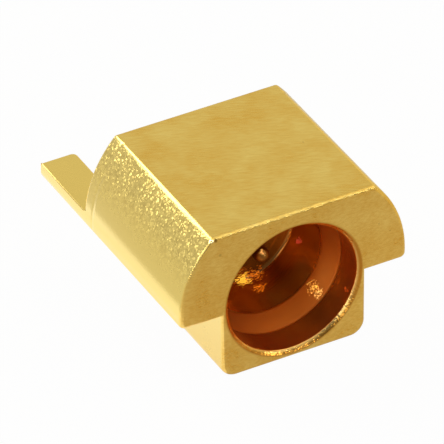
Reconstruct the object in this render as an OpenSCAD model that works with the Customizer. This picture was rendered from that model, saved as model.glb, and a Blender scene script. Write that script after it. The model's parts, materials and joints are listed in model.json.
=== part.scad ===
// Push-on coaxial connector for a board edge: a gold-plated shell whose stepped smooth-bore socket
// faces -Y, a white insulating bead and a captive centre contact.
// The origin is on the bore axis at the front face, +Y runs into the shell and +Z is up.
// The keel drops into a slot in the board, and the shoulders and legs sit on the board's face.

/* [Socket] */
// Diameter of the smooth land in which the mating half's fingers slide
land_d = 2.96; // [2.4:0.02:3.4]
// Length of the land, up to the reference plane, which is the socket's floor
land_l = 1.3; // [0.8:0.05:2]
// Radial rise of the lead-in cone from the land to the entry bore
lead_rise = 0.23; // [0.1:0.01:0.4]
// Length of the lead-in cone
lead_l = 0.54; // [0.3:0.02:0.8]
// Length of the entry bore's straight wall
entry_l = 0.72; // [0.4:0.02:1.2]
// Broken edge at the mouth, at 45 degrees
mouth_break = 0.09; // [0.03:0.01:0.12]
// Corner that the boring tool leaves between land and floor, at 45 degrees
floor_break = 0.05; // [0.02:0.01:0.1]

/* [Shell] */
// Diameter of the round bar that the flanks keep
bar_d = 6; // [5.4:0.1:8]
// Height of the bar's centre above the bore axis
bar_rise = 0.11; // [0:0.01:0.3]
// Wall between the entry bore and the flat top
roof_wall = 0.49; // [0.3:0.01:0.7]
// Wall of the keel beside the entry bore
keel_wall = 0.2; // [0.16:0.01:0.4]
// Wall of the keel under the entry bore
floor_wall = 0.22; // [0.16:0.01:0.4]
// Radius along the keel's lower corners
keel_corner_r = 0.39; // [0.1:0.01:0.5]
// Broken edge round the front face and the legs' ends, at 45 degrees
edge_break = 0.05; // [0.02:0.01:0.06]
// Broken edge round the rear face, at 45 degrees
rear_break = 0.08; // [0.04:0.01:0.12]
// Radius along the two edges of the flat top
top_r = 0.12; // [0.05:0.01:0.2]
// Radius along the lower outer corners of the shoulders and legs
shoulder_r = 0.15; // [0.05:0.01:0.22]

/* [Legs] */
// Width of a leg
leg_w = 0.94; // [0.6:0.02:1.2]
// Thickness of a leg
leg_t = 0.4; // [0.25:0.05:0.8]
// Length of a leg behind the rear face
leg_l = 2.2; // [1:0.1:4]
// Radius of a leg's inner rear corner
leg_corner_r = 0.13; // [0.05:0.01:0.3]

/* [Insulator] */
// Diameter of the bead
bead_d = 2.8; // [2.4:0.05:3.2]
// Length of the bead
bead_l = 1.5; // [0.8:0.05:2]
// Thickness of the lip between the socket's floor and the bead, which stops on it
lip_l = 0.55; // [0.2:0.05:0.8]
// Depth of the bead's inner step, behind the lip
step_l = 0.3; // [0.2:0.05:0.5]
// Depth of the bead's rear face inside the shell
bead_recess = 0.1; // [0.02:0.02:0.4]
// Radial clearance of the pressed fits, close to line-to-line
press_gap = 0.01; // [0.005:0.005:0.02]

/* [Centre contact] */
// Diameter of the mating pin
pin_d = 0.38; // [0.3:0.01:0.5]
// Length of the mating pin in front of the reference plane
pin_l = 1.25; // [0.8:0.05:1.6]
// Diameter of the contact's core, which starts at the reference plane
core_d = 0.72; // [0.6:0.02:0.9]
// Radial air gap round the core, in its throat through the lip
throat_gap = 0.3; // [0.1:0.01:0.4]
// Radial width of the collar's shoulder, which stops on the bead's inner step
collar_step = 0.065; // [0.04:0.005:0.15]
// Diameter of the solder tail
tail_d = 0.25; // [0.15:0.01:0.4]
// Length of the solder tail behind the rear face
tail_l = 1.9; // [0.8:0.1:3.5]
// Broken edge at the tail's end
tail_break = 0.04; // [0.02:0.01:0.06]

/* [Hidden] */
$fn = 96;
gold = "#CFAB4E";
ptfe = "#F1EDE2";

// How far a cut runs past the face that it opens
over = 0.2;

// Diameter of the entry bore, worked out from the land
socket_d = land_d + 2 * lead_rise;

// Depths along the bore, from the front face
lead_y = mouth_break + entry_l;
land_y = lead_y + lead_l;
reference_y = land_y + land_l;
lip_y = reference_y + lip_l;
step_y = lip_y + step_l;
bead_end_y = lip_y + bead_l;
rear_y = bead_end_y + bead_recess;
leg_end_y = rear_y + leg_l;

// Section sizes, from the bore axis
bar_r = bar_d / 2;
top_z = socket_d / 2 + roof_wall;
keel_x = socket_d / 2 + keel_wall;
keel_z = -(socket_d / 2 + floor_wall);
// The solder tail lies on the board, so the board's face is one tail radius below the axis
board_z = -tail_d / 2;
leg_inner_x = bar_r - leg_w;

// Bead and contact steps
throat_d = core_d + 2 * throat_gap;
collar_d = core_d + 2 * collar_step;
pin_tip_y = reference_y - pin_l;
tail_end_y = rear_y + tail_l;

// Turns a shape made along +Z so that it runs along the bore, +Y
module along_bore() {
    rotate([-90, 0, 0]) children();
}

// Revolves a profile of [radius, depth] points about the bore axis
module revolve(profile) {
    along_bore() rotate_extrude() polygon(profile);
}

// Round bar along the bore from the front face, with both ends' edges broken
module turned_bar(d, l, rear) {
    r = d / 2;
    revolve([
        [0, 0],
        [r - edge_break, 0],
        [r, edge_break],
        [r, l - rear],
        [r - rear, l],
        [0, l],
    ]);
}

// Section from depth 0 to l and from height 0 to h, with its two upper corners broken
module broken_section(l, h, rear) {
    polygon([
        [0, 0],
        [l, 0],
        [l, h - rear],
        [l - rear, h],
        [edge_break, h],
        [0, h - edge_break],
    ]);
}

// Milled slab across the full width from the board face up to height h
module slab(l, h, rear) {
    translate([-bar_d, 0, board_z])
        rotate([90, 0, 90])
            linear_extrude(2 * bar_d) broken_section(l, h, rear);
}

// Upper half of the shell: the bar, milled flat on top and down to the board face
module crown() {
    intersection() {
        translate([0, 0, bar_rise]) turned_bar(bar_d, rear_y, rear_break);
        slab(rear_y, top_z - board_z, rear_break);
    }
}

// Plan of the +X leg, from inside the crown to past its end, with the inner rear corner rounded
module leg_plan() {
    difference() {
        translate([leg_inner_x, lip_y]) square([bar_d, leg_end_y]);
        translate([leg_inner_x + leg_corner_r, leg_end_y - leg_corner_r])
            difference() {
                translate([-leg_corner_r - over, 0])
                    square([leg_corner_r + over, leg_end_y]);
                circle(leg_corner_r);
            }
    }
}

// One leg of the same bar, behind the +X shoulder, with its root in the crown
module leg() {
    intersection() {
        translate([0, 0, bar_rise]) turned_bar(bar_d, leg_end_y, edge_break);
        slab(leg_end_y, leg_t, edge_break);
        translate([0, 0, board_z]) linear_extrude(bar_d) leg_plan();
    }
}

// Waste outside a round of radius r along shell and leg, where the bar's +X side meets a flat
// at height z; up is 1 for the top and -1 for the board face
module corner_waste(r, z, up) {
    centre_z = z - up * r;
    centre_x = sqrt(pow(bar_r - r, 2) - pow(centre_z - bar_rise, 2));
    reach = 3 * r;
    bar_side = [centre_x, centre_z - bar_rise] / (bar_r - r) * reach;
    translate([centre_x, leg_end_y + over, centre_z])
        rotate([90, 0, 0])
            linear_extrude(leg_end_y + 2 * over)
                difference() {
                    polygon([
                        [0, 0],
                        [0, up * reach],
                        bar_side + [0, up * reach],
                        bar_side,
                    ]);
                    circle(r);
                }
}

// Lower block: milled flat on its sides and underside, with its ends' edges broken
module keel() {
    intersection() {
        mirror([0, 0, 1])
            translate([-bar_d, 0, 0])
                rotate([90, 0, 90])
                    linear_extrude(2 * bar_d) broken_section(rear_y, -keel_z, rear_break);
        translate([0, 0, keel_z])
            linear_extrude(-keel_z)
                for (side = [0, 1])
                    mirror([side, 0, 0])
                        rotate([0, 0, 90])
                            mirror([0, 1, 0]) broken_section(rear_y, keel_x, rear_break);
    }
}

// Waste outside the round along the keel's lower +X corner
module keel_waste() {
    translate([keel_x - keel_corner_r, rear_y + over, keel_z + keel_corner_r])
        rotate([90, 0, 0])
            linear_extrude(rear_y + 2 * over)
                difference() {
                    translate([0, -keel_corner_r - over]) square(keel_corner_r + over);
                    circle(keel_corner_r);
                }
}

// Stepped socket: mouth, entry bore, lead-in cone, land and floor
module socket() {
    revolve([
        [0, -over],
        [socket_d / 2 + mouth_break + over, -over],
        [socket_d / 2, mouth_break],
        [socket_d / 2, lead_y],
        [land_d / 2, land_y],
        [land_d / 2, reference_y - floor_break],
        [land_d / 2 - floor_break, reference_y],
        [0, reference_y],
    ]);
}

// Throat through the lip, and the bore behind it for the bead
module bead_bore() {
    revolve([
        [0, reference_y - over],
        [throat_d / 2, reference_y - over],
        [throat_d / 2, lip_y],
        [bead_d / 2, lip_y],
        [bead_d / 2, rear_y + over],
        [0, rear_y + over],
    ]);
}

// Gold-plated shell, one turned and milled piece with its two legs
module shell() {
    color(gold)
        difference() {
            union() {
                crown();
                keel();
                for (side = [0, 1])
                    mirror([side, 0, 0]) leg();
            }
            for (side = [0, 1])
                mirror([side, 0, 0]) {
                    corner_waste(top_r, top_z, 1);
                    corner_waste(shoulder_r, board_z, -1);
                    keel_waste();
                }
            socket();
            bead_bore();
        }
}

// White insulating bead, pressed in from behind until it stops on the lip
module insulator() {
    color(ptfe)
        revolve([
            [core_d / 2 + press_gap, lip_y],
            [bead_d / 2 - press_gap, lip_y],
            [bead_d / 2 - press_gap, bead_end_y],
            [collar_d / 2 + press_gap, bead_end_y],
            [collar_d / 2 + press_gap, step_y],
            [core_d / 2 + press_gap, step_y],
        ]);
}

// Half section of the contact: round-nosed pin, core, collar and solder tail
module contact_section() {
    pin_r = pin_d / 2;
    intersection() {
        translate([0, pin_tip_y + pin_r]) circle(pin_r);
        translate([0, pin_tip_y]) square([pin_d, pin_r]);
    }
    polygon([
        [0, pin_tip_y + pin_r],
        [pin_r, pin_tip_y + pin_r],
        [pin_r, reference_y],
        [core_d / 2, reference_y],
        [core_d / 2, step_y],
        [collar_d / 2, step_y],
        [collar_d / 2, bead_end_y],
        [tail_d / 2, bead_end_y],
        [tail_d / 2, tail_end_y - tail_break],
        [tail_d / 2 - tail_break, tail_end_y],
        [0, tail_end_y],
    ]);
}

// Gold-plated centre contact, held by its collar inside the bead
module centre_contact() {
    color(gold) along_bore() rotate_extrude() contact_section();
}

shell();
insulator();
centre_contact();
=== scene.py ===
"""Looks of a push-on coaxial connector for a board edge: gold-plated shell, white bead, centre contact.

The frame is the CAD's: the bore axis is Y, the socket's mouth faces -Y at y = 0, and Z is up from the board.
Sizes are in millimetres while a mesh is shaped, and the finished mesh is in metres.
"""

import json
import logging
import math
from dataclasses import dataclass, fields, replace
from enum import Enum
from typing import Any, Callable, Sequence

import bmesh
import bpy
from mathutils import Matrix, Vector

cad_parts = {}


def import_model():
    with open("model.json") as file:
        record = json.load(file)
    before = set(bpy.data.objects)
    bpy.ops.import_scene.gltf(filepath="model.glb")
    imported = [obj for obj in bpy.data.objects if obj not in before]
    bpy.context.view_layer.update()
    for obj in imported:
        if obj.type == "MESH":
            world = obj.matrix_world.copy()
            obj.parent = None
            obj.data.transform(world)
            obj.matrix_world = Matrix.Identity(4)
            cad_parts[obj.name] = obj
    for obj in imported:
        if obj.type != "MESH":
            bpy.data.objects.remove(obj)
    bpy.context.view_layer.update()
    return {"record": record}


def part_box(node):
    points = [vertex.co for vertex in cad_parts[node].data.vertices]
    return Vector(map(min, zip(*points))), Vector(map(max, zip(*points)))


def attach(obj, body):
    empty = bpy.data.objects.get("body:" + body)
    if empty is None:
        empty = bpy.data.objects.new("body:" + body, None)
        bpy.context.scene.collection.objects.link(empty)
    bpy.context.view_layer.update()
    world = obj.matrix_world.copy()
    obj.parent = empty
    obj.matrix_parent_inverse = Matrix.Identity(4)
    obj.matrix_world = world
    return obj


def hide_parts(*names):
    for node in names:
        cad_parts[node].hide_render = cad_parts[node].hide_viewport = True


LOG = logging.getLogger("connector")

# One millimetre in Blender's metres
MM = 0.001
# Vertices closer than this many millimetres are one vertex
MERGE = 1e-4
# Facets in a full turn of a lathed or round form
TURN_STEPS = 240
# Turn from one flat to the next along a rounded edge
ROUND_STEP = math.radians(9)
# Edges that turn by more than this are rounded
SHARP = math.radians(14)
# Edges that turn by more than this stay crisp under smooth shading
CRISP = math.radians(35)
# Faces that turn by less than this are one face
FLUSH = math.radians(0.1)
# A face with this much of a direction in its normal faces that way
FACING = 0.9
# Steps across a rounded edge
ROUND_STEPS = 4
# Bounces of light that the deep socket needs
MAX_BOUNCES = 16
GLOSSY_BOUNCES = 14

# Sizes in millimetres of a grain of plate and of a short streak in a bored corner
GRAIN = (0.028, 0.028, 0.028)
STREAK = (0.07, 0.02, 0.02)
# Directions halfway from the photo's camera to the front left, the front high and the key lamp
FACES_LEFT = (-0.56, -0.69, 0.46)
FACES_HIGH = (-0.07, -0.77, 0.63)
FACES_KEY = (-0.49, 0.0, 0.87)

# Mean of the random colours that tell a texture's cells apart
CELL_MEAN = (0.5, 0.5, 0.5)

# Two numbers in a plane, the ends of a ramp, three axes, a node, and a flat's point and outward direction
Point = tuple[float, float]
Span = tuple[float, float]
Triple = tuple[float, float, float]
Node = bpy.types.Node
Flat = tuple[Sequence[float], Sequence[float]]


class Slot(Enum):
    """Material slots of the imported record."""

    SHELL = "shell_gold"
    INSULATOR = "insulator_ptfe"
    CONTACT = "contact_gold"


class Side(Enum):
    """The two sides of the shell, by the sign of x."""

    LEFT = -1
    RIGHT = 1


# Shared helpers for colours, nodes and meshes


def linear(hex_colour: str) -> tuple[float, float, float, float]:
    """Turns an sRGB hex colour to linear light.

    Args:
        hex_colour: Six hex digits after a hash sign.

    Returns:
        Red, green, blue and a full alpha.
    """
    parts = [int(hex_colour[i : i + 2], 16) / 255 for i in (1, 3, 5)]
    light = [c / 12.92 if c <= 0.04045 else ((c + 0.055) / 1.055) ** 2.4 for c in parts]
    return (light[0], light[1], light[2], 1.0)


@dataclass(frozen=True)
class Paint:
    """Nodes of a material or a world, and the place in millimetres that its textures go by."""

    tree: bpy.types.NodeTree
    mm: Node | None = None

    @classmethod
    def on(cls, owner: bpy.types.Material | bpy.types.World) -> "Paint":
        """Empties the nodes of a material or a world.

        Args:
            owner: What the nodes belong to.

        Returns:
            The empty nodes, without a place.
        """
        owner.use_nodes = True
        owner.node_tree.nodes.clear()
        return cls(owner.node_tree)

    def by(self, mm: Node) -> "Paint":
        """Gives the same nodes with another place to go by."""
        return replace(self, mm=mm)

    def add(self, kind: str, inputs: dict | None = None, **settings: Any) -> Node:
        """Adds a node with its settings, constants and links.

        Args:
            kind: Node type without the leading "ShaderNode".
            inputs: Values by input name or index. A node is linked by its first live output, a socket is
                linked as it is, and anything else is set.
            settings: Attributes of the node itself.

        Returns:
            The new node.
        """
        node = self.tree.nodes.new("ShaderNode" + kind)
        for name, value in settings.items():
            setattr(node, name, value)
        for key, value in (inputs or {}).items():
            if isinstance(value, bpy.types.Node):
                value = next(output for output in value.outputs if output.enabled)
            if isinstance(value, bpy.types.NodeSocket):
                self.tree.links.new(value, node.inputs[key])
            else:
                node.inputs[key].default_value = value
        return node


def new_object(name: str, bm: bmesh.types.BMesh) -> bpy.types.Object:
    """Moves a bmesh into a new object of the scene.

    Args:
        name: Name of the object and its mesh.
        bm: Shape, which is freed.

    Returns:
        The object, at the origin.
    """
    mesh = bpy.data.meshes.new(name)
    bm.to_mesh(mesh)
    bm.free()
    thing = bpy.data.objects.new(name, mesh)
    bpy.context.scene.collection.objects.link(thing)
    return thing


def settle_mesh(thing: bpy.types.Object) -> None:
    """Closes a finished mesh, turns its faces outwards, brings it to metres and shades it.

    Args:
        thing: Object whose mesh is still in millimetres.
    """
    bm = bmesh.new()
    bm.from_mesh(thing.data)
    bmesh.ops.remove_doubles(bm, verts=bm.verts[:], dist=MERGE)
    bmesh.ops.recalc_face_normals(bm, faces=bm.faces[:])
    bmesh.ops.scale(bm, vec=(MM, MM, MM), verts=bm.verts[:])
    bm.to_mesh(thing.data)
    bm.free()
    thing.data.shade_smooth()
    thing.data.set_sharp_from_angle(angle=CRISP)
    even = thing.modifiers.new("even_normals", "WEIGHTED_NORMAL")
    even.keep_sharp = True


def lathe(name: str, profile: Sequence[Point], rounds: dict[int, float]) -> bpy.types.Object:
    """Spins a profile about the bore axis.

    Args:
        name: Name of the object.
        profile: Radius and depth of each corner, in order.
        rounds: Offset of the round at a corner, by its place in the profile.

    Returns:
        A closed solid in millimetres.
    """
    bm = bmesh.new()
    corners = [bm.verts.new((radius, depth, 0)) for radius, depth in profile]
    for near, far in zip(corners, corners[1:]):
        bm.edges.new((near, far))
    if profile[0][0] > 0:
        bm.edges.new((corners[-1], corners[0]))
    for offset in sorted(set(rounds.values())):
        soft = [corners[i] for i, value in rounds.items() if value == offset]
        bmesh.ops.bevel(
            bm,
            geom=soft,
            offset=offset,
            offset_type="OFFSET",
            segments=ROUND_STEPS,
            profile=0.5,
            affect="VERTICES",
            material=-1,
        )
    bmesh.ops.spin(
        bm,
        geom=bm.verts[:] + bm.edges[:],
        cent=(0, 0, 0),
        axis=(0, 1, 0),
        angle=math.tau,
        steps=TURN_STEPS,
        use_merge=True,
    )
    bmesh.ops.remove_doubles(bm, verts=bm.verts[:], dist=MERGE)
    bmesh.ops.recalc_face_normals(bm, faces=bm.faces[:])
    return new_object(name, bm)


def dress(thing: bpy.types.Object, material: bpy.types.Material) -> bpy.types.Object:
    """Gives a piece its finish and its place in the frame.

    Args:
        thing: Finished piece, named for the CAD node it stands for.
        material: Finish.

    Returns:
        The same piece.
    """
    thing.data.materials.clear()
    thing.data.materials.append(material)
    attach(thing, "root")
    return thing


@dataclass(frozen=True)
class Interface:
    """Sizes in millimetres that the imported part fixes, shared by the sub-assemblies."""

    socket_r: float
    entry_l: float
    pin_r: float
    tail_r: float
    bar_r: float
    top_z: float
    keel_z: float
    leg_end_y: float
    bead_r: float
    lip_y: float
    bead_end_y: float
    collar_r: float
    pin_tip_y: float
    tail_end_y: float

    @classmethod
    def from_record(cls, record: dict) -> "Interface":
        """Reads the sizes from the nodes' boxes and the record's mounts.

        Args:
            record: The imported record.

        Returns:
            The sizes in millimetres.
        """
        dims = {mount["name"]: mount["dims"] for mount in record["mounts"]}
        shell_low, shell_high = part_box("shell")
        bead_low, bead_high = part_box("insulator")
        pin_low, pin_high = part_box("centre_contact")
        return cls(
            socket_r=dims["mating_socket"]["r_mm"],
            entry_l=dims["mating_socket"]["length_mm"],
            pin_r=dims["contact_pin"]["r_mm"],
            tail_r=dims["solder_tail"]["r_mm"],
            bar_r=shell_high.x / MM,
            top_z=shell_high.z / MM,
            keel_z=shell_low.z / MM,
            leg_end_y=shell_high.y / MM,
            bead_r=bead_high.x / MM,
            lip_y=bead_low.y / MM,
            bead_end_y=bead_high.y / MM,
            collar_r=pin_high.x / MM,
            pin_tip_y=pin_low.y / MM,
            tail_end_y=pin_high.y / MM,
        )


# Finishes


@dataclass(frozen=True)
class Relief:
    """Noise relief of a real size that one region of a surface carries."""

    size_mm: Triple
    height_mm: float
    turn: float = 0.0
    detail: float = 2.0
    warp: float = 0.0
    # Noise values at which the relief begins and is full
    clip: Span = (0.25, 0.75)

    def shape(self, paint: Paint) -> Node:
        """Draws the relief from zero to one.

        Args:
            paint: Nodes of the material.

        Returns:
            The relief.
        """
        turned = {"Vector": paint.mm, "Rotation": (0, 0, self.turn), "Scale": self.size_mm}
        at = paint.add("Mapping", turned, vector_type="TEXTURE")
        inputs = {"Vector": at, "Scale": 1.0, "Detail": self.detail, "Distortion": self.warp}
        noise = paint.add("TexNoise", inputs)
        ends = {0: noise, 1: self.clip[0], 2: self.clip[1]}
        return paint.add("MapRange", ends, interpolation_type="SMOOTHSTEP")

    def lay(self, paint: Paint, mask: Node | float, under: Node | float) -> Node:
        """Adds the relief to the height underneath.

        Args:
            paint: Nodes of the material.
            mask: Share of the relief that the surface carries.
            under: Height underneath, in millimetres.

        Returns:
            The new height.
        """
        depth = paint.add("Math", {0: mask, 1: self.height_mm}, operation="MULTIPLY")
        raised = {0: self.shape(paint), 1: depth, 2: under}
        return paint.add("Math", raised, operation="MULTIPLY_ADD")


@dataclass(frozen=True)
class Spot:
    """Round mark on a surface."""

    point_mm: Triple
    radius_mm: float
    strength: float = 1.0

    def mask(self, paint: Paint) -> Node:
        """Gives the strength at the mark's middle, falling to zero at its radius.

        Args:
            paint: Nodes of the material.

        Returns:
            The mask.
        """
        away = paint.add("VectorMath", {0: paint.mm, 1: self.point_mm}, operation="DISTANCE")
        fall = {0: away, 1: self.radius_mm, 2: 0.0, 4: self.strength}
        return paint.add("MapRange", fall, interpolation_type="SMOOTHSTEP")


@dataclass(frozen=True)
class Look:
    """Colour, roughness and direction of a surface."""

    colour: Node
    rough: Node
    normal: Node


@dataclass(frozen=True)
class Facets:
    """Small facets of plate, some of which are turned from their surface, glint, and take a painted highlight
    colour.
    """

    # Colour of the turned facets: a painted highlight or painted reflection colour
    gold: str
    roughness: float = 0.16
    facet_mm: Triple = (0.05, 0.05, 0.05)
    # Share of facets that are turned where the mask is full, and how far they stray
    share: float = 0.8
    stray: float = 0.3

    def turn(self, paint: Paint, mask: Node, facing: Node | Sequence[float], look: Look) -> Look:
        """Turns some facets.

        Args:
            paint: Nodes of the material.
            mask: Where the facets are.
            facing: Direction from which the turned facets stray.
            look: Surface underneath.

        Returns:
            The surface with its facets.
        """
        at = paint.add("Mapping", {"Vector": paint.mm, "Scale": self.facet_mm}, vector_type="TEXTURE")
        cells = paint.add("TexVoronoi", {"Vector": at, "Scale": 1.0}).outputs["Color"]
        chance = paint.add("SeparateXYZ", {0: cells})
        crowd = paint.add("Math", {0: mask, 1: self.share}, operation="MULTIPLY")
        picked = paint.add("Math", {0: chance, 1: crowd}, operation="LESS_THAN")
        about = paint.add("VectorMath", {0: cells, 1: CELL_MEAN}, operation="SUBTRACT")
        strayed = {0: about, 1: (self.stray, self.stray, self.stray), 2: facing}
        tilted = paint.add("VectorMath", strayed, operation="MULTIPLY_ADD")
        mixed = paint.add("Mix", {0: picked, 4: look.normal, 5: tilted}, data_type="VECTOR")
        # Turned facets take the painted highlight colour
        return Look(
            colour=paint.add("Mix", {0: picked, 6: look.colour, 7: linear(self.gold)}, data_type="RGBA"),
            rough=paint.add("Mix", {0: picked, 2: look.rough, 3: self.roughness}),
            normal=paint.add("VectorMath", {0: mixed}, operation="NORMALIZE"),
        )


@dataclass(frozen=True)
class Glints:
    """Cluster of facets that face a lamp, in a painted highlight colour."""

    spot: Spot
    facing: Triple
    facets: Facets

    def lay(self, paint: Paint, look: Look) -> Look:
        """Puts the cluster on a surface and gives the new surface."""
        return self.facets.turn(paint, self.spot.mask(paint), self.facing, look)


class Finish:
    """Steps that the finishes share."""

    roughness: float
    roughness_swing: float

    def start(self, name: str) -> tuple[bpy.types.Material, Paint]:
        """Opens a material.

        Args:
            name: Name of the material.

        Returns:
            The material and its nodes, which go by the place on the piece.
        """
        material = bpy.data.materials.new(name)
        paint = Paint.on(material)
        place = paint.add("TexCoord").outputs["Object"]
        return material, paint.by(paint.add("Mapping", {"Vector": place, "Scale": (1 / MM, 1 / MM, 1 / MM)}))

    def reach(self, paint: Paint, rise: float = 0.0) -> Node:
        """Gives the distance in millimetres from a line along the bore, some way above the bore axis."""
        flat = paint.add("Mapping", {"Vector": paint.mm, "Location": (0, 0, -rise), "Scale": (1, 0, 1)})
        return paint.add("VectorMath", {0: flat}, operation="LENGTH")

    def surface(self, paint: Paint, tone: Node, ends: tuple[str, str], height: Node) -> Look:
        """Makes a surface whose colour and roughness swing with a tone.

        Args:
            paint: Nodes of the material.
            tone: Tone from zero to one.
            ends: Colours where the tone is zero and where it is one.
            height: Relief in millimetres.

        Returns:
            The surface.
        """
        low, high = (linear(end) for end in ends)
        swing = {0: tone, 3: self.roughness - self.roughness_swing, 4: self.roughness + self.roughness_swing}
        return Look(
            colour=paint.add("Mix", {0: tone, 6: low, 7: high}, data_type="RGBA"),
            rough=paint.add("MapRange", swing),
            normal=paint.add("Bump", {"Height": height, "Distance": MM, "Strength": 1.0}),
        )

    def close(self, paint: Paint, look: Look, fixed: dict[str, Any]) -> None:
        """Joins what changes over a surface and what is the same all over it."""
        changing = {"Base Color": look.colour, "Roughness": look.rough, "Normal": look.normal}
        paint.add("OutputMaterial", {"Surface": paint.add("BsdfPrincipled", changing | fixed)})


@dataclass(frozen=True)
class ShellRegions:
    """Masks on the shell: each gives one in its region and zero elsewhere."""

    top: Node
    flank: Node
    upper_flank: Node
    keel_side: Node
    legs: Node
    bore: Node
    bore_depth: Node
    bore_cone: Node
    bore_floor: Node
    # Place by distance from the bore axis and depth
    turned: Node
    mouth: Node
    front_edge: Node
    tool_ring: Node


@dataclass(frozen=True)
class MilledGoldPlate(Finish):
    """Gold plate over milled and tumbled brass.

    It gives the eye a satin top with short cutter marks, flanks in a paler gold as a painted sheen that glint
    where the plate covers pits and carry painted shade in their hollows, sharp light on the edges, glinting
    facets in painted highlight colours, and a bore painted redder and darker towards its depth as painted
    shade.
    """

    gold: str = "#FDE389"
    deep_gold: str = "#E9BC54"
    # Painted sheen: paler gold of the flanks, the legs and the keel's sides, standing in for the paler light
    # that they reflect
    side_gold: str = "#F8DC80"
    # Painted shade: a redder and darker gold down the bore, from the entry to its depth, on the lead-in cone
    # and on the floor
    entry_gold: str = "#F5C776"
    cone_gold: str = "#EE9A44"
    bore_gold: str = "#E0AA5A"
    floor_gold: str = "#A86A32"
    # Painted shade: deeper gold of the broken edge round the mouth
    mouth_gold: str = "#CE943C"
    # Colour of the real nicks, and of the painted shade in the pits' hollows
    stain: str = "#7A5620"
    roughness: float = 0.25
    flank_roughness: float = 0.15
    bore_roughness: float = 0.27
    cone_roughness: float = 0.46
    floor_roughness: float = 0.16
    mouth_roughness: float = 0.18
    edge_roughness: float = 0.35
    roughness_swing: float = 0.04
    # Cloudy change of tone across a face, and the noise at which it begins and is full
    cloud_mm: float = 0.9
    cloud_clip: Span = (0.3, 0.7)
    # Share of that change which follows the cutter marks
    streak_share: float = 0.45
    # Satin grain, drawn coarser than the real one so that it shows
    grain: Relief = Relief((0.05, 0.05, 0.05), 0.0009)
    # Short marks of the cutter on the top
    hairs: Relief = Relief((0.3, 0.045, 0.045), 0.002, turn=math.radians(-22), detail=3, warp=0.3)
    # Plated-over pits on the flanks, which gather towards the top
    pits: Relief = Relief((0.1, 0.1, 0.1), 0.0035, detail=2, warp=0.5)
    # Share of that colour painted into the pits' hollows as painted shade
    pit_stain: float = 0.3
    # Chatter of the tool round the mouth
    chatter: Relief = Relief((0.07, 0.2, 0.07), 0.005, detail=1)
    # Small burrs that break the light along the front edges
    burrs: Relief = Relief((0.14, 0.5, 0.14), 0.014, detail=2)
    # Rings that the boring tool left, by distance from the axis on the floor and by depth on the walls
    floor_rings: Relief = Relief((0.09, 5, 1), 0.007, detail=2)
    wall_rings: Relief = Relief((5, 0.05, 1), 0.0008, detail=2)
    # Facets of plate that glint, in painted highlight and painted reflection colours: on the lead-in cone,
    # along the floor's corner, on the land, in the entry, and at the front left corner of the top
    glints: tuple[Glints, ...] = (
        Glints(Spot((1.18, 0.97, -1.14), 0.2), FACES_LEFT, Facets("#FAB058", 0.24, GRAIN, 0.7)),
        Glints(Spot((1.15, 1.1, -1.09), 0.24), FACES_LEFT, Facets("#F6A340", 0.22, GRAIN, 0.5)),
        Glints(Spot((1.1, 1.26, -1.03), 0.16), FACES_LEFT, Facets("#F6A340", 0.22, GRAIN, 0.4)),
        Glints(Spot((0.1, 2.64, -1.46), 0.31), FACES_HIGH, Facets("#FFB434", 0.31, STREAK, 0.85, 0.2)),
        Glints(Spot((0.42, 2.62, -1.4), 0.3), FACES_HIGH, Facets("#F07C1C", 0.38, STREAK, 0.7)),
        Glints(Spot((0.27, 2.2, -1.47), 0.25), FACES_HIGH, Facets("#F07814", 0.36, STREAK, 0.75)),
        Glints(Spot((1.4, 2.26, -0.52), 0.15), FACES_LEFT, Facets("#E4543A", 0.4, stray=0.2)),
        Glints(Spot((1.54, 0.28, -0.74), 0.11), FACES_LEFT, Facets("#DC5218", 0.38, stray=0.2)),
        Glints(Spot((-2.17, 0.03, 2.13), 0.1), FACES_KEY, Facets("#FFF0B0", 0.2, GRAIN, 0.9)),
    )
    # Facets round the pits on the flanks, in the painted sheen's paler gold
    flank_facets: Facets = Facets("#F8DC80", 0.34, (0.045, 0.045, 0.045), share=0.26, stray=0.55)
    flank_lean: Triple = (0.0, 0.0, 0.36)
    # Groove that a tool left round the flank
    ring_y: float = 4.36
    ring_w: float = 0.09
    ring_height_mm: float = -0.006
    # Nicks and specks: front top corner, rear top corner, top, front beside the mouth
    nicks: tuple[Spot, ...] = (
        Spot((-2.06, 0.0, 2.13), 0.07, 0.95),
        Spot((-2.14, 4.78, 2.16), 0.06, 0.6),
        Spot((1.55, 2.36, 2.2), 0.04, 0.4),
        Spot((-1.95, 0.0, 1.69), 0.06, 0.4),
        Spot((2.25, 0.0, 1.1), 0.035, 0.4),
        Spot((2.55, 0.0, 0.8), 0.03, 0.4),
    )
    nick_height_mm: float = -0.012

    def regions(self, paint: Paint, shell: "Shell", socket: "Socket") -> ShellRegions:
        """Finds the shell's regions by place.

        Args:
            paint: Nodes of the material.
            shell: Shell whose sizes place them.
            socket: Bore through the shell.

        Returns:
            The masks.
        """
        axes = paint.add("SeparateXYZ", {0: paint.mm})
        depth = axes.outputs["Y"]
        height = axes.outputs["Z"]
        aside = paint.add("Math", {0: axes.outputs["X"]}, operation="ABSOLUTE")
        bar_reach = self.reach(paint, shell.bar_rise)
        bore_reach = self.reach(paint)
        fit = shell.fit
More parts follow.
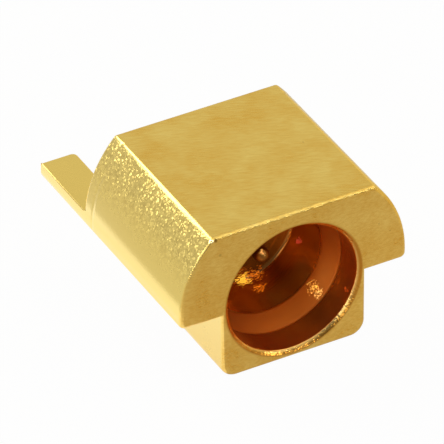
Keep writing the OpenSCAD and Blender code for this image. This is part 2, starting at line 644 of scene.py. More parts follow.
        # What each mask measures, the size that places it, and where it begins and is full from there
        ramps = {
            "top": (height, fit.top_z, -0.03, -0.01),
            "near_top": (height, fit.top_z, -0.1, -0.06),
            "under_edge": (height, fit.top_z, -0.03, -0.06),
            "climb": (height, 0, 0.8, 1.5),
            "below": (height, shell.board_z, 0, -0.02),
            "flank": (bar_reach, fit.bar_r, -0.03, -0.01),
            "beside": (aside, shell.keel_x, -0.02, -0.01),
            "within": (bore_reach, fit.socket_r, 0.06, 0.02),
            "round_mouth": (bore_reach, fit.socket_r, 0.14, 0.09),
            "at_mouth": (depth, 0, 0.12, 0.08),
            "at_front": (depth, 0, 0.1, 0.05),
            "bore_depth": (depth, 0, 0.5, 1.8),
            "past_entry": (depth, socket.lead_y, -0.02, 0.02),
            "before_land": (depth, socket.land_y, 0.02, -0.02),
            "deep": (depth, socket.floor_y, -0.1, -0.04),
            "before_bead": (depth, socket.floor_y, socket.lip_l, 0),
            "legs": (depth, shell.rear_y, 0, 0.05),
        }
        masks = {}
        for name, (measure, size, start, full) in ramps.items():
            masks[name] = paint.add("MapRange", {0: measure, 1: size + start, 2: size + full})
        off_ring = paint.add("Math", {0: depth, 1: self.ring_y}, operation="SUBTRACT")
        from_ring = paint.add("Math", {0: off_ring}, operation="ABSOLUTE")
        groove = {0: from_ring, 1: self.ring_w, 2: 0.0}
        masks["ring"] = paint.add("MapRange", groove, interpolation_type="SMOOTHSTEP")
        # Masks that are two others multiplied, each after those that it needs
        products = {
            "pitted": ("climb", "under_edge"),
            "upper_flank": ("pitted", "flank"),
            "keel_side": ("beside", "below"),
            "bore": ("within", "before_bead"),
            "cone": ("past_entry", "before_land"),
            "bore_cone": ("bore", "cone"),
            "bore_floor": ("bore", "deep"),
            "mouth": ("at_mouth", "round_mouth"),
            "front_edge": ("at_front", "near_top"),
            "tool_ring": ("ring", "flank"),
        }
        for name, (first, second) in products.items():
            masks[name] = paint.add("Math", {0: masks[first], 1: masks[second]}, operation="MULTIPLY")
        masks["turned"] = paint.add("CombineXYZ", {0: bore_reach, 1: depth})
        return ShellRegions(**{field.name: masks[field.name] for field in fields(ShellRegions)})

    def nicked(self, paint: Paint) -> Node:
        """Joins the masks of the nicks.

        Args:
            paint: Nodes of the material.

        Returns:
            One mask for them all.
        """
        mask = 0.0
        for nick in self.nicks:
            mask = paint.add("Math", {0: mask, 1: nick.mask(paint)}, operation="MAXIMUM")
        return mask

    def relief(self, paint: Paint, regions: ShellRegions, nicked: Node) -> Node:
        """Adds up the relief of every region.

        Args:
            paint: Nodes of the material.
            regions: Masks of the regions.
            nicked: Mask of the nicks.

        Returns:
            The height in millimetres.
        """
        height = self.grain.lay(paint, 1.0, 0.0)
        height = self.hairs.lay(paint, regions.top, height)
        height = self.pits.lay(paint, regions.upper_flank, height)
        height = self.chatter.lay(paint, regions.mouth, height)
        height = self.burrs.lay(paint, regions.front_edge, height)
        height = self.floor_rings.lay(paint.by(regions.turned), regions.bore_floor, height)
        height = self.wall_rings.lay(paint.by(regions.turned), regions.bore, height)
        for mask, depth in ((regions.tool_ring, self.ring_height_mm), (nicked, self.nick_height_mm)):
            height = paint.add("Math", {0: mask, 1: depth, 2: height}, operation="MULTIPLY_ADD")
        return height

    def build(self, shell: "Shell", socket: "Socket") -> bpy.types.Material:
        """Makes the material.

        Args:
            shell: Shell whose sizes place the regions.
            socket: Bore through the shell.

        Returns:
            The material.
        """
        material, paint = self.start("gold_plated_brass_milled")
        regions = self.regions(paint, shell, socket)
        nicked = self.nicked(paint)
        clouds = paint.add("TexNoise", {"Vector": paint.mm, "Scale": 1 / self.cloud_mm, "Detail": 4.0})
        cloudy = paint.add("MapRange", {0: clouds, 1: self.cloud_clip[0], 2: self.cloud_clip[1]})
        tone = paint.add("Mix", {0: self.streak_share, 2: cloudy, 3: self.hairs.shape(paint)})
        look = self.surface(paint, tone, (self.gold, self.deep_gold), self.relief(paint, regions, nicked))
        colour = look.colour
        # Painted sheen: the flanks, the legs and the keel's sides take a paler gold
        sides = paint.add("Math", {0: regions.flank, 1: regions.keel_side}, operation="MAXIMUM")
        sides = paint.add("Math", {0: sides, 1: regions.legs}, operation="MAXIMUM")
        # Painted shade: the broken edge round the mouth takes a deeper gold in the same loop
        for mask, gold in ((sides, self.side_gold), (regions.mouth, self.mouth_gold)):
            colour = paint.add("Mix", {0: mask, 6: colour, 7: linear(gold)}, data_type="RGBA")
        # Painted shade: the bore's gold turns redder and darker with depth, on the cone and on the floor
        deeper_shade = {0: regions.bore_depth, 6: linear(self.entry_gold), 7: linear(self.bore_gold)}
        inside = paint.add("Mix", deeper_shade, data_type="RGBA")
        for mask, gold in ((regions.bore_cone, self.cone_gold), (regions.bore_floor, self.floor_gold)):
            inside = paint.add("Mix", {0: mask, 6: inside, 7: linear(gold)}, data_type="RGBA")
        colour = paint.add("Mix", {0: regions.bore, 6: colour, 7: inside}, data_type="RGBA")
        # Painted shade in the hollows of the flanks' pits; the nicks are real stains
        pits = paint.add("MapRange", {0: self.pits.shape(paint), 3: self.pit_stain, 4: 0.0})
        shaded = paint.add("Math", {0: pits, 1: regions.upper_flank}, operation="MULTIPLY")
        for mask in (shaded, nicked):
            colour = paint.add("Mix", {0: mask, 6: colour, 7: linear(self.stain)}, data_type="RGBA")
        rough = look.rough
        polish = (
            (regions.flank, self.flank_roughness),
            (regions.bore, self.bore_roughness),
            (regions.bore_cone, self.cone_roughness),
            (regions.bore_floor, self.floor_roughness),
            (regions.mouth, self.mouth_roughness),
            (regions.front_edge, self.edge_roughness),
        )
        for mask, value in polish:
            rough = paint.add("Mix", {0: mask, 2: rough, 3: value})
        look = Look(colour, rough, look.normal)
        upward = paint.add("VectorMath", {0: look.normal, 1: self.flank_lean}, operation="ADD")
        look = self.flank_facets.turn(paint, regions.upper_flank, upward, look)
        for cluster in self.glints:
            look = cluster.lay(paint, look)
        self.close(paint, look, {"Metallic": 1.0})
        return material


@dataclass(frozen=True)
class TurnedGoldPlate(Finish):
    """Gold plate over a turned copper alloy: redder than the shell, with rings, painted shade on the pin in
    the socket and a painted highlight on the nose.
    """

    gold: str = "#E8BE6E"
    deep_gold: str = "#DCAE5E"
    # Painted shade: darker, redder gold of the pin in the socket, and the length over which it begins
    pin_gold: str = "#96642E"
    pin_fade_mm: float = 0.1
    roughness: float = 0.4
    roughness_swing: float = 0.03
    rings: Relief = Relief((2.5, 0.045, 2.5), 0.0006)
    # Facets on the upper left of the nose, by their place from its tip, in a painted highlight colour
    nose_facets: Facets = Facets("#F0AC58", 0.33, GRAIN, 0.9, 0.2)
    nose_at_mm: Triple = (-0.03, 0.07, 0.145)
    nose_spot_mm: float = 0.115

    def build(self, tip_y: float, floor_y: float) -> bpy.types.Material:
        """Makes the material.

        Args:
            tip_y: Depth of the contact's tip.
            floor_y: Depth of the socket's floor, where the pin ends.

        Returns:
            The material.
        """
        material, paint = self.start("gold_plated_copper_alloy_turned")
        height = self.rings.lay(paint, 1.0, 0.0)
        tone = paint.add("MapRange", {0: height, 1: 0.0, 2: self.rings.height_mm})
        look = self.surface(paint, tone, (self.gold, self.deep_gold), height)
        # Painted shade on the pin within the socket
        depth = paint.add("SeparateXYZ", {0: paint.mm}).outputs["Y"]
        before = paint.add("MapRange", {0: depth, 1: floor_y, 2: floor_y - self.pin_fade_mm})
        redder = {0: before, 6: look.colour, 7: linear(self.pin_gold)}
        look = replace(look, colour=paint.add("Mix", redder, data_type="RGBA"))
        # Painted highlight: a patch of facets in a brighter gold on the nose
        across, back, rise = self.nose_at_mm
        spot = Spot((across, tip_y + back, rise), self.nose_spot_mm)
        look = Glints(spot, FACES_HIGH, self.nose_facets).lay(paint, look)
        self.close(paint, look, {"Metallic": 1.0})
        return material


@dataclass(frozen=True)
class TurnedPtfe(Finish):
    """Machined fluoropolymer: milky white and waxy, with faint rings from facing."""

    white: str = "#F1EDE2"
    cream: str = "#E6DFCE"
    roughness: float = 0.42
    roughness_swing: float = 0.08
    ring_mm: float = 0.06
    ring_height_mm: float = 0.0012
    cloud_mm: float = 0.5

    def build(self) -> bpy.types.Material:
        """Makes the material.

        Returns:
            The material.
        """
        material, paint = self.start("ptfe_turned")
        facing = {"W": self.reach(paint), "Scale": 1 / self.ring_mm, "Detail": 2.0}
        rings = paint.add("TexNoise", facing, noise_dimensions="1D")
        clouds = paint.add("TexNoise", {"Vector": paint.mm, "Scale": 1 / self.cloud_mm, "Detail": 2.0})
        height = paint.add("Math", {0: rings, 1: self.ring_height_mm}, operation="MULTIPLY")
        look = self.surface(paint, clouds, (self.white, self.cream), height)
        waxy = {
            "IOR": 1.35,
            "Subsurface Weight": 0.25,
            "Subsurface Radius": (0.4, 0.36, 0.3),
            "Subsurface Scale": MM,
        }
        self.close(paint, look, waxy)
        return material


# Sub-assemblies


@dataclass
class Socket:
    """Stepped bore through the shell: mouth, entry, lead-in cone, land, floor, throat and bead seat."""

    fit: Interface
    mouth_break: float = 0.09
    mouth_flare: float = 0.02
    lead_rise: float = 0.23
    lead_l: float = 0.54
    throat_r: float = 0.66
    lip_l: float = 0.55
    press_gap: float = 0.01
    rear_break: float = 0.04
    lead_round: float = 0.03
    mouth_round: float = 0.02
    floor_round: float = 0.12
    throat_round: float = 0.03
    # How far the tool runs past the faces that it opens
    over: float = 0.4

    @property
    def lead_y(self) -> float:
        """Depth at which the lead-in cone begins."""
        return self.mouth_break + self.fit.entry_l

    @property
    def land_y(self) -> float:
        """Depth at which the land begins."""
        return self.lead_y + self.lead_l

    @property
    def floor_y(self) -> float:
        """Depth of the socket's floor, the front of the lip that stops the bead."""
        return self.fit.lip_y - self.lip_l

    def tool(self, rear_y: float) -> bpy.types.Object:
        """Makes the solid that the bore removes from the bar.

        Args:
            rear_y: Depth of the shell's rear face.

        Returns:
            The tool in millimetres.
        """
        entry_r = self.fit.socket_r
        land_r = entry_r - self.lead_rise
        seat_r = self.fit.bead_r + self.press_gap
        mouth_r = entry_r + self.mouth_break
        profile = [
            (0, -self.over),
            (mouth_r + self.mouth_flare + self.over, -self.over),
            (mouth_r - self.mouth_flare, self.mouth_flare),
            (entry_r, self.mouth_break),
            (entry_r, self.lead_y),
            (land_r, self.land_y),
            (land_r, self.floor_y),
            (self.throat_r, self.floor_y),
            (self.throat_r, self.fit.lip_y),
            (seat_r, self.fit.lip_y),
            (seat_r, rear_y - self.rear_break),
            (seat_r + self.rear_break + self.over, rear_y + self.over),
            (0, rear_y + self.over),
        ]
        rounds = {
            3: self.mouth_round,
            4: self.lead_round,
            5: self.lead_round,
            6: self.floor_round,
            7: self.throat_round,
        }
        return lathe("bore_tool", profile, rounds)


@dataclass
class Shell:
    """Shell milled from one round bar: flat top, keel under the shoulders and two legs behind."""

    fit: Interface
    bar_rise: float = 0.11
    keel_wall: float = 0.2
    keel_corner_r: float = 0.39
    bead_recess: float = 0.1
    leg_w: float = 0.94
    leg_t: float = 0.4
    top_r: float = 0.12
    shoulder_r: float = 0.15
    leg_corner_r: float = 0.13
    # Offsets of the rounds that tumbling gave the other edges
    front_round: float = 0.1
    rear_round: float = 0.12
    leg_round: float = 0.05

    @property
    def board_z(self) -> float:
        """Height of the shoulders' undersides, on which the tail lies too."""
        return -self.fit.tail_r

    @property
    def keel_x(self) -> float:
        """Half the keel's width."""
        return self.fit.socket_r + self.keel_wall

    @property
    def rear_y(self) -> float:
        """Depth of the rear face."""
        return self.fit.bead_end_y + self.bead_recess

    @property
    def leg_inner_x(self) -> float:
        """Distance of a leg's inner face from the bore axis."""
        return self.fit.bar_r - self.leg_w

    @property
    def leg_top_z(self) -> float:
        """Height of a leg's upper face."""
        return self.board_z + self.leg_t

    def bar_round(self, radius: float, z: float, up: int) -> list[Flat]:
        """Gives the flats that round the edge where the bar's sides meet a milled face.

        Args:
            radius: Radius of the round.
            z: Height of the milled face.
            up: 1 for the top and -1 for the board face.

        Returns:
            A point on each flat and its outward direction, for both sides.
        """
        middle_z = z - up * radius
        middle_x = math.sqrt((self.fit.bar_r - radius) ** 2 - (middle_z - self.bar_rise) ** 2)
        start = math.atan2(middle_z - self.bar_rise, middle_x)
        return self.round_flats((middle_x, middle_z), radius, start, up * math.pi / 2)

    def round_flats(self, middle: Point, radius: float, start: float, end: float) -> list[Flat]:
        """Gives the flats that stand for a round on both sides.

        Args:
            middle: Place of the round's axis, x and z, on the right side.
            radius: Radius of the round.
            start: Angle at which the round begins, from +X towards +Z.
            end: Angle at which it ends.

        Returns:
            A point on each flat and its outward direction.
        """
        steps = round(abs(end - start) / ROUND_STEP)
        flats = []
        for step in range(1, steps):
            angle = start + (end - start) * step / steps
            across, rise = math.cos(angle), math.sin(angle)
            for side in Side:
                point = (side.value * (middle[0] + radius * across), 0, middle[1] + radius * rise)
                flats.append((point, (side.value * across, 0, rise)))
        return flats

    def milled_disc(self, bm: bmesh.types.BMesh, radius: float, rise: float, flats: Sequence[Flat]) -> None:
        """Adds a disc across the bore, milled down to its flats.

        Args:
            bm: Shape that gets the disc.
            radius: Radius of the round stock.
            rise: Height of the disc's centre.
            flats: A point on each flat and the flat's outward direction.
        """
        standing = set(bm.faces)
        upright = Matrix.Translation((0, 0, rise)) @ Matrix.Rotation(math.pi / 2, 4, "X")
        bmesh.ops.create_circle(bm, cap_ends=True, segments=TURN_STEPS, radius=radius, matrix=upright)
        for point, outward in flats:
            faces = [face for face in bm.faces if face not in standing]
            edges = {edge for face in faces for edge in face.edges}
            verts = {vert for face in faces for vert in face.verts}
            bmesh.ops.bisect_plane(
                bm,
                geom=faces + list(edges) + list(verts),
                dist=MERGE,
                plane_co=point,
                plane_no=outward,
                clear_outer=True,
            )

    def section(self) -> bmesh.types.BMesh:
        """Draws the shell's front outline as faces, split where keel and legs begin.

        Returns:
            The flat section at y = 0.
        """
        bm = bmesh.new()
        board = (0, 0, self.board_z)
        crown_flats = [((0, 0, self.fit.top_z), (0, 0, 1)), (board, (0, 0, -1))]
        crown_flats += self.bar_round(self.top_r, self.fit.top_z, 1)
        crown_flats += self.bar_round(self.shoulder_r, self.board_z, -1)
        self.milled_disc(bm, self.fit.bar_r, self.bar_rise, crown_flats)
        for side in Side:
            for x in (self.keel_x, self.leg_inner_x):
                self.split(bm, (side.value * x, 0, 0), (1, 0, 0))
        self.split(bm, (0, 0, self.leg_top_z), (0, 0, 1))
        keel_flats = [((side.value * self.keel_x, 0, 0), (side.value, 0, 0)) for side in Side]
        keel_flats += [((0, 0, self.fit.keel_z), (0, 0, -1)), (board, (0, 0, 1))]
        middle = (self.keel_x - self.keel_corner_r, self.fit.keel_z + self.keel_corner_r)
        keel_flats += self.round_flats(middle, self.keel_corner_r, 0, -math.pi / 2)
        self.milled_disc(bm, self.fit.bar_r, 0, keel_flats)
        bmesh.ops.remove_doubles(bm, verts=bm.verts[:], dist=MERGE)
        return bm

    def split(self, bm: bmesh.types.BMesh, point: Sequence[float], across: Sequence[float]) -> None:
        """Divides every face at a plane, given by a point and the way across it, and keeps both sides."""
        every = bm.verts[:] + bm.edges[:] + bm.faces[:]
        bmesh.ops.bisect_plane(bm, geom=every, dist=MERGE, plane_co=point, plane_no=across)

    def lengthen(self, bm: bmesh.types.BMesh) -> None:
        """Draws the section out to the rear face, and the legs on from there.

        Args:
            bm: Section at the front, which becomes the bar.
        """
        self.draw_out(bm, bm.faces[:], self.rear_y)
        bmesh.ops.recalc_face_normals(bm, faces=bm.faces[:])
        roots = []
        for face in bm.faces:
            middle = face.calc_center_median()
            behind = face.normal.y > FACING
            if behind and abs(middle.x) > self.leg_inner_x and middle.z < self.leg_top_z:
                roots.append(face)
        self.draw_out(bm, roots, self.fit.leg_end_y - self.rear_y)
        bmesh.ops.delete(bm, geom=[face for face in roots if face.is_valid], context="FACES_ONLY")
        bmesh.ops.remove_doubles(bm, verts=bm.verts[:], dist=MERGE)
        bmesh.ops.recalc_face_normals(bm, faces=bm.faces[:])
        bmesh.ops.dissolve_limit(bm, angle_limit=FLUSH, verts=bm.verts[:], edges=bm.edges[:])

    def draw_out(self, bm: bmesh.types.BMesh, faces: Sequence[bmesh.types.BMFace], length: float) -> None:
        """Extrudes faces along the bore.

        Args:
            bm: Shape that holds the faces.
            faces: Faces to draw out.
            length: Distance towards +Y.
        """
        drawn = bmesh.ops.extrude_face_region(bm, geom=faces)["geom"]
        ends = [part for part in drawn if isinstance(part, bmesh.types.BMVert)]
        bmesh.ops.translate(bm, vec=(0, length, 0), verts=ends)

    def soften(self, bm: bmesh.types.BMesh, offset: float, chosen: Callable[[Vector, Vector], bool]) -> None:
        """Rounds the sharp outer edges whose two ends pass a test.

        Args:
            bm: Shape to round.
            offset: Width of the round on each side of the edge.
            chosen: Test of an edge's two ends.
        """
        edges = []
        for edge in bm.edges:
            sharp = edge.is_manifold and edge.is_convex and edge.calc_face_angle() > SHARP
            if sharp and chosen(edge.verts[0].co, edge.verts[1].co):
                edges.append(edge)
        bmesh.ops.bevel(
            bm,
            geom=edges,
            offset=offset,
            offset_type="OFFSET",
            segments=ROUND_STEPS,
            profile=0.5,
            affect="EDGES",
            material=-1,
            clamp_overlap=False,
        )

    def round_edges(self, bm: bmesh.types.BMesh) -> None:
        """Rounds the edges that milling left sharp.

        Args:
            bm: Bar with its legs.
        """
        leg_end_y = self.fit.leg_end_y

        def at_depth(y: float) -> Callable[[Vector, Vector], bool]:
            """Gives a test for edges in one plane across the bore."""
            return lambda a, b: abs(a.y - y) < MERGE and abs(b.y - y) < MERGE

        def leg_corner(a: Vector, b: Vector) -> bool:
            """Tests for the upright inner edge at a leg's end."""
            upright = abs(a.x - b.x) < MERGE and at_depth(leg_end_y)(a, b)
            return upright and abs(abs(a.x) - self.leg_inner_x) < MERGE

        def leg_rim(a: Vector, b: Vector) -> bool:
            """Tests for a leg's other edges."""
            behind = min(a.y, b.y) > self.rear_y - MERGE and max(a.y, b.y) > self.rear_y + MERGE
            return behind or at_depth(leg_end_y)(a, b)

        self.soften(bm, self.leg_corner_r, leg_corner)
        self.soften(bm, self.front_round, at_depth(0))
        self.soften(bm, self.rear_round, at_depth(self.rear_y))
        self.soften(bm, self.leg_round, leg_rim)

    def build(self, socket: Socket, finish: MilledGoldPlate) -> bpy.types.Object:
        """Makes the shell and dresses it.

        Args:
            socket: Bore to cut through the shell.
            finish: Finish of the shell.

        Returns:
            The finished piece.
        """
        bm = self.section()
        self.lengthen(bm)
        self.round_edges(bm)
        piece = new_object("shell_body", bm)
        self.drill(piece, socket.tool(self.rear_y))
        settle_mesh(piece)
        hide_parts("shell")
        return dress(piece, finish.build(self, socket))

    def drill(self, bar: bpy.types.Object, tool: bpy.types.Object) -> None:
        """Cuts the bore and removes the tool.

        Args:
            bar: Solid bar in millimetres.
            tool: Solid that the bore removes.
        """
        cut = bar.modifiers.new("bore", "BOOLEAN")
        cut.operation = "DIFFERENCE"
        cut.solver = "EXACT"
        cut.object = tool
        solved = bar.evaluated_get(bpy.context.evaluated_depsgraph_get())
        drilled = bpy.data.meshes.new_from_object(solved)
        bar.modifiers.clear()
        bar.data = drilled
        bpy.data.objects.remove(tool)


@dataclass
class Insulator:
    """White bead pressed into the rear of the shell, with a step that stops the contact's collar."""

    fit: Interface
    # Radius of the contact's core, which the bead holds
    core_r: float = 0.36
    step_l: float = 0.3
    press_gap: float = 0.01
    edge_round: float = 0.03

    @property
    def step_y(self) -> float:
        """Depth of the step."""
        return self.fit.lip_y + self.step_l

    def build(self, finish: TurnedPtfe) -> bpy.types.Object:
        """Makes the bead and dresses it.

        Args:
            finish: Finish of the bead.

        Returns:
            The finished piece.
        """
        hole_r = self.core_r + self.press_gap
        seat_r = self.fit.collar_r + self.press_gap
        profile = [
            (hole_r, self.fit.lip_y),
            (self.fit.bead_r, self.fit.lip_y),
            (self.fit.bead_r, self.fit.bead_end_y),
            (seat_r, self.fit.bead_end_y),
            (seat_r, self.step_y),
            (hole_r, self.step_y),
        ]
        piece = lathe("insulator_bead", profile, {corner: self.edge_round for corner in range(4)})
        settle_mesh(piece)
        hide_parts("insulator")
        return dress(piece, finish.build())


@dataclass
class CentreContact:
    """Turned contact: round-nosed pin in the socket, core and collar in the bead, solder tail behind."""

    fit: Interface
    socket: Socket
    bead: Insulator
    edge_round: float = 0.03
    # Share of the pin's radius that its nose is rounded by
    nose_share: float = 0.97

    def build(self, finish: TurnedGoldPlate) -> bpy.types.Object:
        """Makes the contact and dresses it.

        Args:
            finish: Finish of the contact.

        Returns:
            The finished piece.
        """
        core_r = self.bead.core_r
        profile = [
            (0, self.fit.pin_tip_y),
            (self.fit.pin_r, self.fit.pin_tip_y),
            (self.fit.pin_r, self.socket.floor_y),
            (core_r, self.socket.floor_y),
            (core_r, self.bead.step_y),
            (self.fit.collar_r, self.bead.step_y),
            (self.fit.collar_r, self.fit.bead_end_y),
            (self.fit.tail_r, self.fit.bead_end_y),
            (self.fit.tail_r, self.fit.tail_end_y),
            (0, self.fit.tail_end_y),
        ]
        # Front edge of the core, rear edges of the collar and the tail, and the pin's nose
        rounds = {corner: self.edge_round for corner in (3, 6, 8)} | {1: self.nose_share * self.fit.pin_r}
        piece = lathe("contact_pin_and_tail", profile, rounds)
        settle_mesh(piece)
        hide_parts("centre_contact")
        return dress(piece, finish.build(self.fit.pin_tip_y, self.socket.floor_y))


# Stage


@dataclass(frozen=True)
class Softbox:
    """Rectangular lamp that faces the connector."""

    name: str
    towards: Triple
    distance_mm: float
    size_mm: Point
    # Radiance of its face, where 1 is the backdrop's white
    level: float
    tint: str = "#FFFFFF"
    spin: float = 0.0

    def build(self, aim: Vector) -> None:
        """Hangs the lamp.

        Args:
            aim: Point in metres that it faces.
        """
        width, height = (side * MM for side in self.size_mm)
        lamp = bpy.data.lights.new(self.name, "AREA")
        lamp.shape = "RECTANGLE"
        lamp.size = width
        lamp.size_y = height
        lamp.energy = self.level * math.pi * width * height
        lamp.color = linear(self.tint)[:3]
        out = Vector(self.towards).normalized()
        hung = bpy.data.objects.new(self.name, lamp)
        turn = out.to_track_quat("Z", "Y").to_matrix().to_4x4() @ Matrix.Rotation(self.spin, 4, "Z")
        hung.matrix_world = Matrix.Translation(aim + out * self.distance_mm * MM) @ turn
        hung.visible_camera = False
        bpy.context.scene.collection.objects.link(hung)


@dataclass(frozen=True)
class Studio:
    """Pale floor, a room that is bright behind, dim in front and warm on the right, and softboxes."""

    floor_mm: float = 600
    floor: str = "#DDDCD9"
    backdrop: str = "#FFFFFF"
    # Shares of the plain backdrop that camera and metal see in place of the lit floor and the room
    floor_seen: float = 0.97
    floor_shine: float = 0.4
    right_shine: float = 0.8
    room_shine: float = 0.1
    # Backdrop that the metal sees, warm in front of the connector and on its right and cool behind it: the
    # floor's glows are painted light, darker far off, and the room is the world's light
    far_glow: str = "#A27C3A"
    front_glow: str = "#DCB67C"
    back_glow: str = "#EAEAE6"
    right_glow: str = "#E0C88C"
    right_room: str = "#E6D29A"
    cool_room: str = "#D9D9D6"
    warm_room: str = "#D7D0B5"
    room_level: float = 0.95
    front_level: float = 0.16
    right_share: float = 1.1
    # Where on the floor the front, back and right glows begin and are full
    front_ramp_mm: Span = (-6, -1)
    back_ramp_mm: Span = (-2, 3)
    right_ramp_mm: Span = (6, 9)
    # Where in a direction the room turns warm, lights up behind and above, and becomes its right side
    warm_ramp: Span = (-0.5, 0.5)
    behind_ramp: Span = (-0.6, 0.0)
    above_ramp: Span = (0.65, 0.85)
    right_ramp: Span = (0.48, 0.64)
    # Bright strip of paper edge on the floor beside the left flank
    strip_mm: Point = (5.4, 18.5)
    strip_at_mm: Point = (-2.77, 6.75)
    strip_rise_mm: float = 0.05
    strip_gap_mm: float = 0.02
    strip_spin: float = math.radians(15)
    strip_level: float = 0.54
    strip_tint: str = "#DAE2FF"
    # Depth on the bore axis that the lamps face
    aim_y_mm: float = 2.4
    lamps: tuple[Softbox, ...] = (
        Softbox("key_back_left", (-0.30, 0.71, 0.635), 250, (185, 120), 3.0),
        Softbox("overhead", (0.386, -0.15, 0.91), 250, (180, 280), 0.6),
        Softbox("front_left", (-0.70, -0.62, 0.30), 160, (70, 55), 1.45),
        Softbox("left_edge", (-0.86, -0.35, 0.2), 160, (10, 60), 9.0),
        Softbox("front_right", (0.72, -0.56, 0.42), 160, (50, 40), 4.0),
        Softbox("front_high", (0.25, -0.75, 0.61), 160, (16, 12), 30.0),
    )

    def build(self, floor_z: float) -> None:
        """Builds floor, room light and lamps.

        Args:
            floor_z: Height of the floor in metres.
        """
        self.lay_floor(floor_z)
        self.light_room()
        for lamp in self.lamps:
            lamp.build(Vector((0, self.aim_y_mm * MM, 0)))
        x, y = self.strip_at_mm
        strip = Softbox(
            name="low_left",
            towards=(0, 0, -1),
            distance_mm=self.strip_gap_mm,
            size_mm=self.strip_mm,
            level=self.strip_level,
            tint=self.strip_tint,
            spin=self.strip_spin,
        )
        strip.build(Vector((x * MM, y * MM, floor_z + self.strip_rise_mm * MM)))

    def backdrop_share(self, paint: Paint, seen: float, shine: Node | float) -> Node:
        """Gives the share of the plain backdrop that a ray meets.

        Args:
            paint: Nodes of the floor or the room.
            seen: Share that the camera sees.
            shine: Share that the metal sees.

        Returns:
            The share.
        """
        path = paint.add("LightPath")
        clear = {0: path.outputs["Is Camera Ray"], 1: path.outputs["Is Transmission Ray"]}
        direct = paint.add("Math", clear, operation="MAXIMUM")
        straight = paint.add("Math", {0: direct, 1: seen}, operation="MULTIPLY")
        glossy = {0: path.outputs["Is Glossy Ray"], 1: shine, 2: straight}
        return paint.add("Math", glossy, operation="MULTIPLY_ADD")

    def lay_floor(self, floor_z: float) -> None:
        """Lays the floor.

        Args:
            floor_z: Height in metres.
        """
        bm = bmesh.new()
        bmesh.ops.create_grid(bm, x_segments=2, y_segments=2, size=self.floor_mm / 2 * MM)
        bmesh.ops.translate(bm, vec=(0, 0, floor_z), verts=bm.verts[:])
        floor = new_object("floor", bm)
        material = bpy.data.materials.new("matt_white_paper")
        floor.data.materials.append(material)
        paint = Paint.on(material)
        axes = paint.add("SeparateXYZ", {0: paint.add("TexCoord").outputs["Object"]})
        ramps = (("Y", self.front_ramp_mm), ("Y", self.back_ramp_mm), ("X", self.right_ramp_mm))
        before, behind, aside = (
            paint.add("MapRange", {0: axes.outputs[axis], 1: start * MM, 2: full * MM})
            for axis, (start, full) in ramps
        )
        # Painted light: the floor glows for the metal, warm in front and on the right, cool behind, darker
        # far off
        glow = linear(self.far_glow)
        for mask, colour in ((before, self.front_glow), (behind, self.back_glow), (aside, self.right_glow)):
            glow = paint.add("Mix", {0: mask, 6: glow, 7: linear(colour)}, data_type="RGBA")
        path = paint.add("LightPath")
        shown = {0: path.outputs["Is Camera Ray"], 6: glow, 7: linear(self.backdrop)}
        white = paint.add("Emission", {"Color": paint.add("Mix", shown, data_type="RGBA")})
        paper = paint.add("BsdfDiffuse", {"Color": linear(self.floor)})
        shine = paint.add("MapRange", {0: aside, 3: self.floor_shine, 4: self.right_shine})
        share = self.backdrop_share(paint, self.floor_seen, shine)
        paint.add("OutputMaterial", {"Surface": paint.add("MixShader", {0: share, 1: paper, 2: white})})

    def light_room(self) -> None:
        """Sets the world: white to the camera, and for the metal cool on the left and warm on the right."""
        world = bpy.data.worlds.new("studio_room")
        bpy.context.scene.world = world
        paint = Paint.on(world)
        axes = paint.add("SeparateXYZ", {0: paint.add("TexCoord").outputs["Generated"]})
        ramps = (("Y", self.behind_ramp), ("Z", self.above_ramp), ("X", self.right_ramp))
        behind, above, right = (
            paint.add("MapRange", {0: axes.outputs[axis], 1: start, 2: full}) for axis, (start, full) in ramps
        )
        across = {0: axes.outputs["X"], 1: self.warm_ramp[0], 2: self.warm_ramp[1]}
        side = paint.add("MapRange", across, interpolation_type="SMOOTHSTEP")
        tint = linear(self.cool_room)
        for mask, colour in ((side, self.warm_room), (right, self.right_room)):
            tint = paint.add("Mix", {0: mask, 6: tint, 7: linear(colour)}, data_type="RGBA")
        lit = paint.add("Math", {0: behind, 1: above}, operation="MAXIMUM")
        dim = {0: lit, 3: self.front_level, 4: self.room_level}
        level = paint.add("MapRange", dim, interpolation_type="SMOOTHSTEP")
        dimmer = paint.add("MapRange", {0: right, 3: 1.0, 4: self.right_share})
        level = paint.add("Math", {0: level, 1: dimmer}, operation="MULTIPLY")
        room = paint.add("Background", {"Color": tint, "Strength": level})
        white = paint.add("Background", {"Color": linear(self.backdrop), "Strength": 1.0})
        share = self.backdrop_share(paint, 1.0, self.room_shine)
        paint.add("OutputWorld", {"Surface": paint.add("MixShader", {0: share, 1: room, 2: white})})


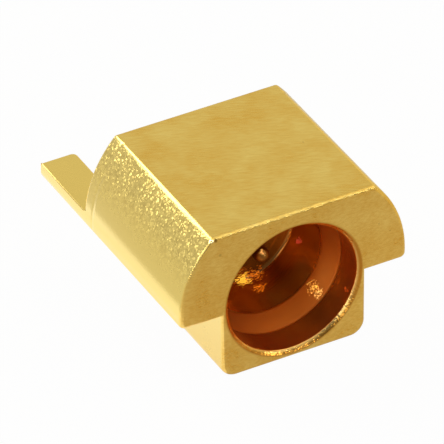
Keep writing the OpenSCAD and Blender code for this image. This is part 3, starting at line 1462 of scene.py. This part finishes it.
@dataclass(frozen=True)
class PhotoCamera:
    """Long-lens camera above the connector's left front, as in the photograph."""

    azimuth: float = math.radians(-28.519)
    elevation: float = math.radians(36.0044)
    roll: float = math.radians(-0.2839)
    distance_mm: float = 160
    # How far it is slid from the line on which it faces the origin
    slide_right_mm: float = -1.6757
    slide_up_mm: float = 1.5695
    focal_px: float = 6899.41
    image_px: float = 444
    sensor_mm: float = 36
    clip_m: Span = (0.01, 10)

    def build(self) -> None:
        """Places the camera and makes it the scene's."""
        level = math.cos(self.elevation)
        across = math.sin(self.azimuth) * level
        along = -math.cos(self.azimuth) * level
        back = Vector((across, along, math.sin(self.elevation)))
        right = Vector((math.cos(self.azimuth), math.sin(self.azimuth), 0))
        turn = Matrix.Rotation(self.roll, 3, back)
        right = turn @ right
        up = back.cross(right)
        stand = back * self.distance_mm + right * self.slide_right_mm + up * self.slide_up_mm
        lens = bpy.data.cameras.new("photo_camera")
        lens.sensor_width = self.sensor_mm
        lens.lens = self.focal_px * self.sensor_mm / self.image_px
        lens.clip_start, lens.clip_end = self.clip_m
        camera = bpy.data.objects.new("photo_camera", lens)
        pose = Matrix((right, up, back)).transposed().to_4x4()
        camera.matrix_world = Matrix.Translation(stand * MM) @ pose
        bpy.context.scene.collection.objects.link(camera)
        bpy.context.scene.camera = camera


def set_view(scene: bpy.types.Scene) -> None:
    """Sets plain colours and enough bounces for the deep socket.

    Args:
        scene: Scene to set.
    """
    scene.view_settings.view_transform = "Standard"
    scene.cycles.max_bounces = MAX_BOUNCES
    scene.cycles.glossy_bounces = GLOSSY_BOUNCES


def main() -> None:
    """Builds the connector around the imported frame, and its stage."""
    logging.basicConfig(level=logging.INFO, format="%(name)s: %(message)s")
    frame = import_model()
    fit = Interface.from_record(frame["record"])
    PhotoCamera().build()
    Studio().build(fit.keel_z * MM)
    socket = Socket(fit)
    bead = Insulator(fit)
    pieces = [
        Shell(fit).build(socket, MilledGoldPlate()),
        bead.build(TurnedPtfe()),
        CentreContact(fit, socket, bead).build(TurnedGoldPlate()),
    ]
    for piece in pieces:
        LOG.info("%s: %d faces", piece.name, len(piece.data.polygons))
    set_view(bpy.context.scene)


if __name__ == "__main__":
    main()
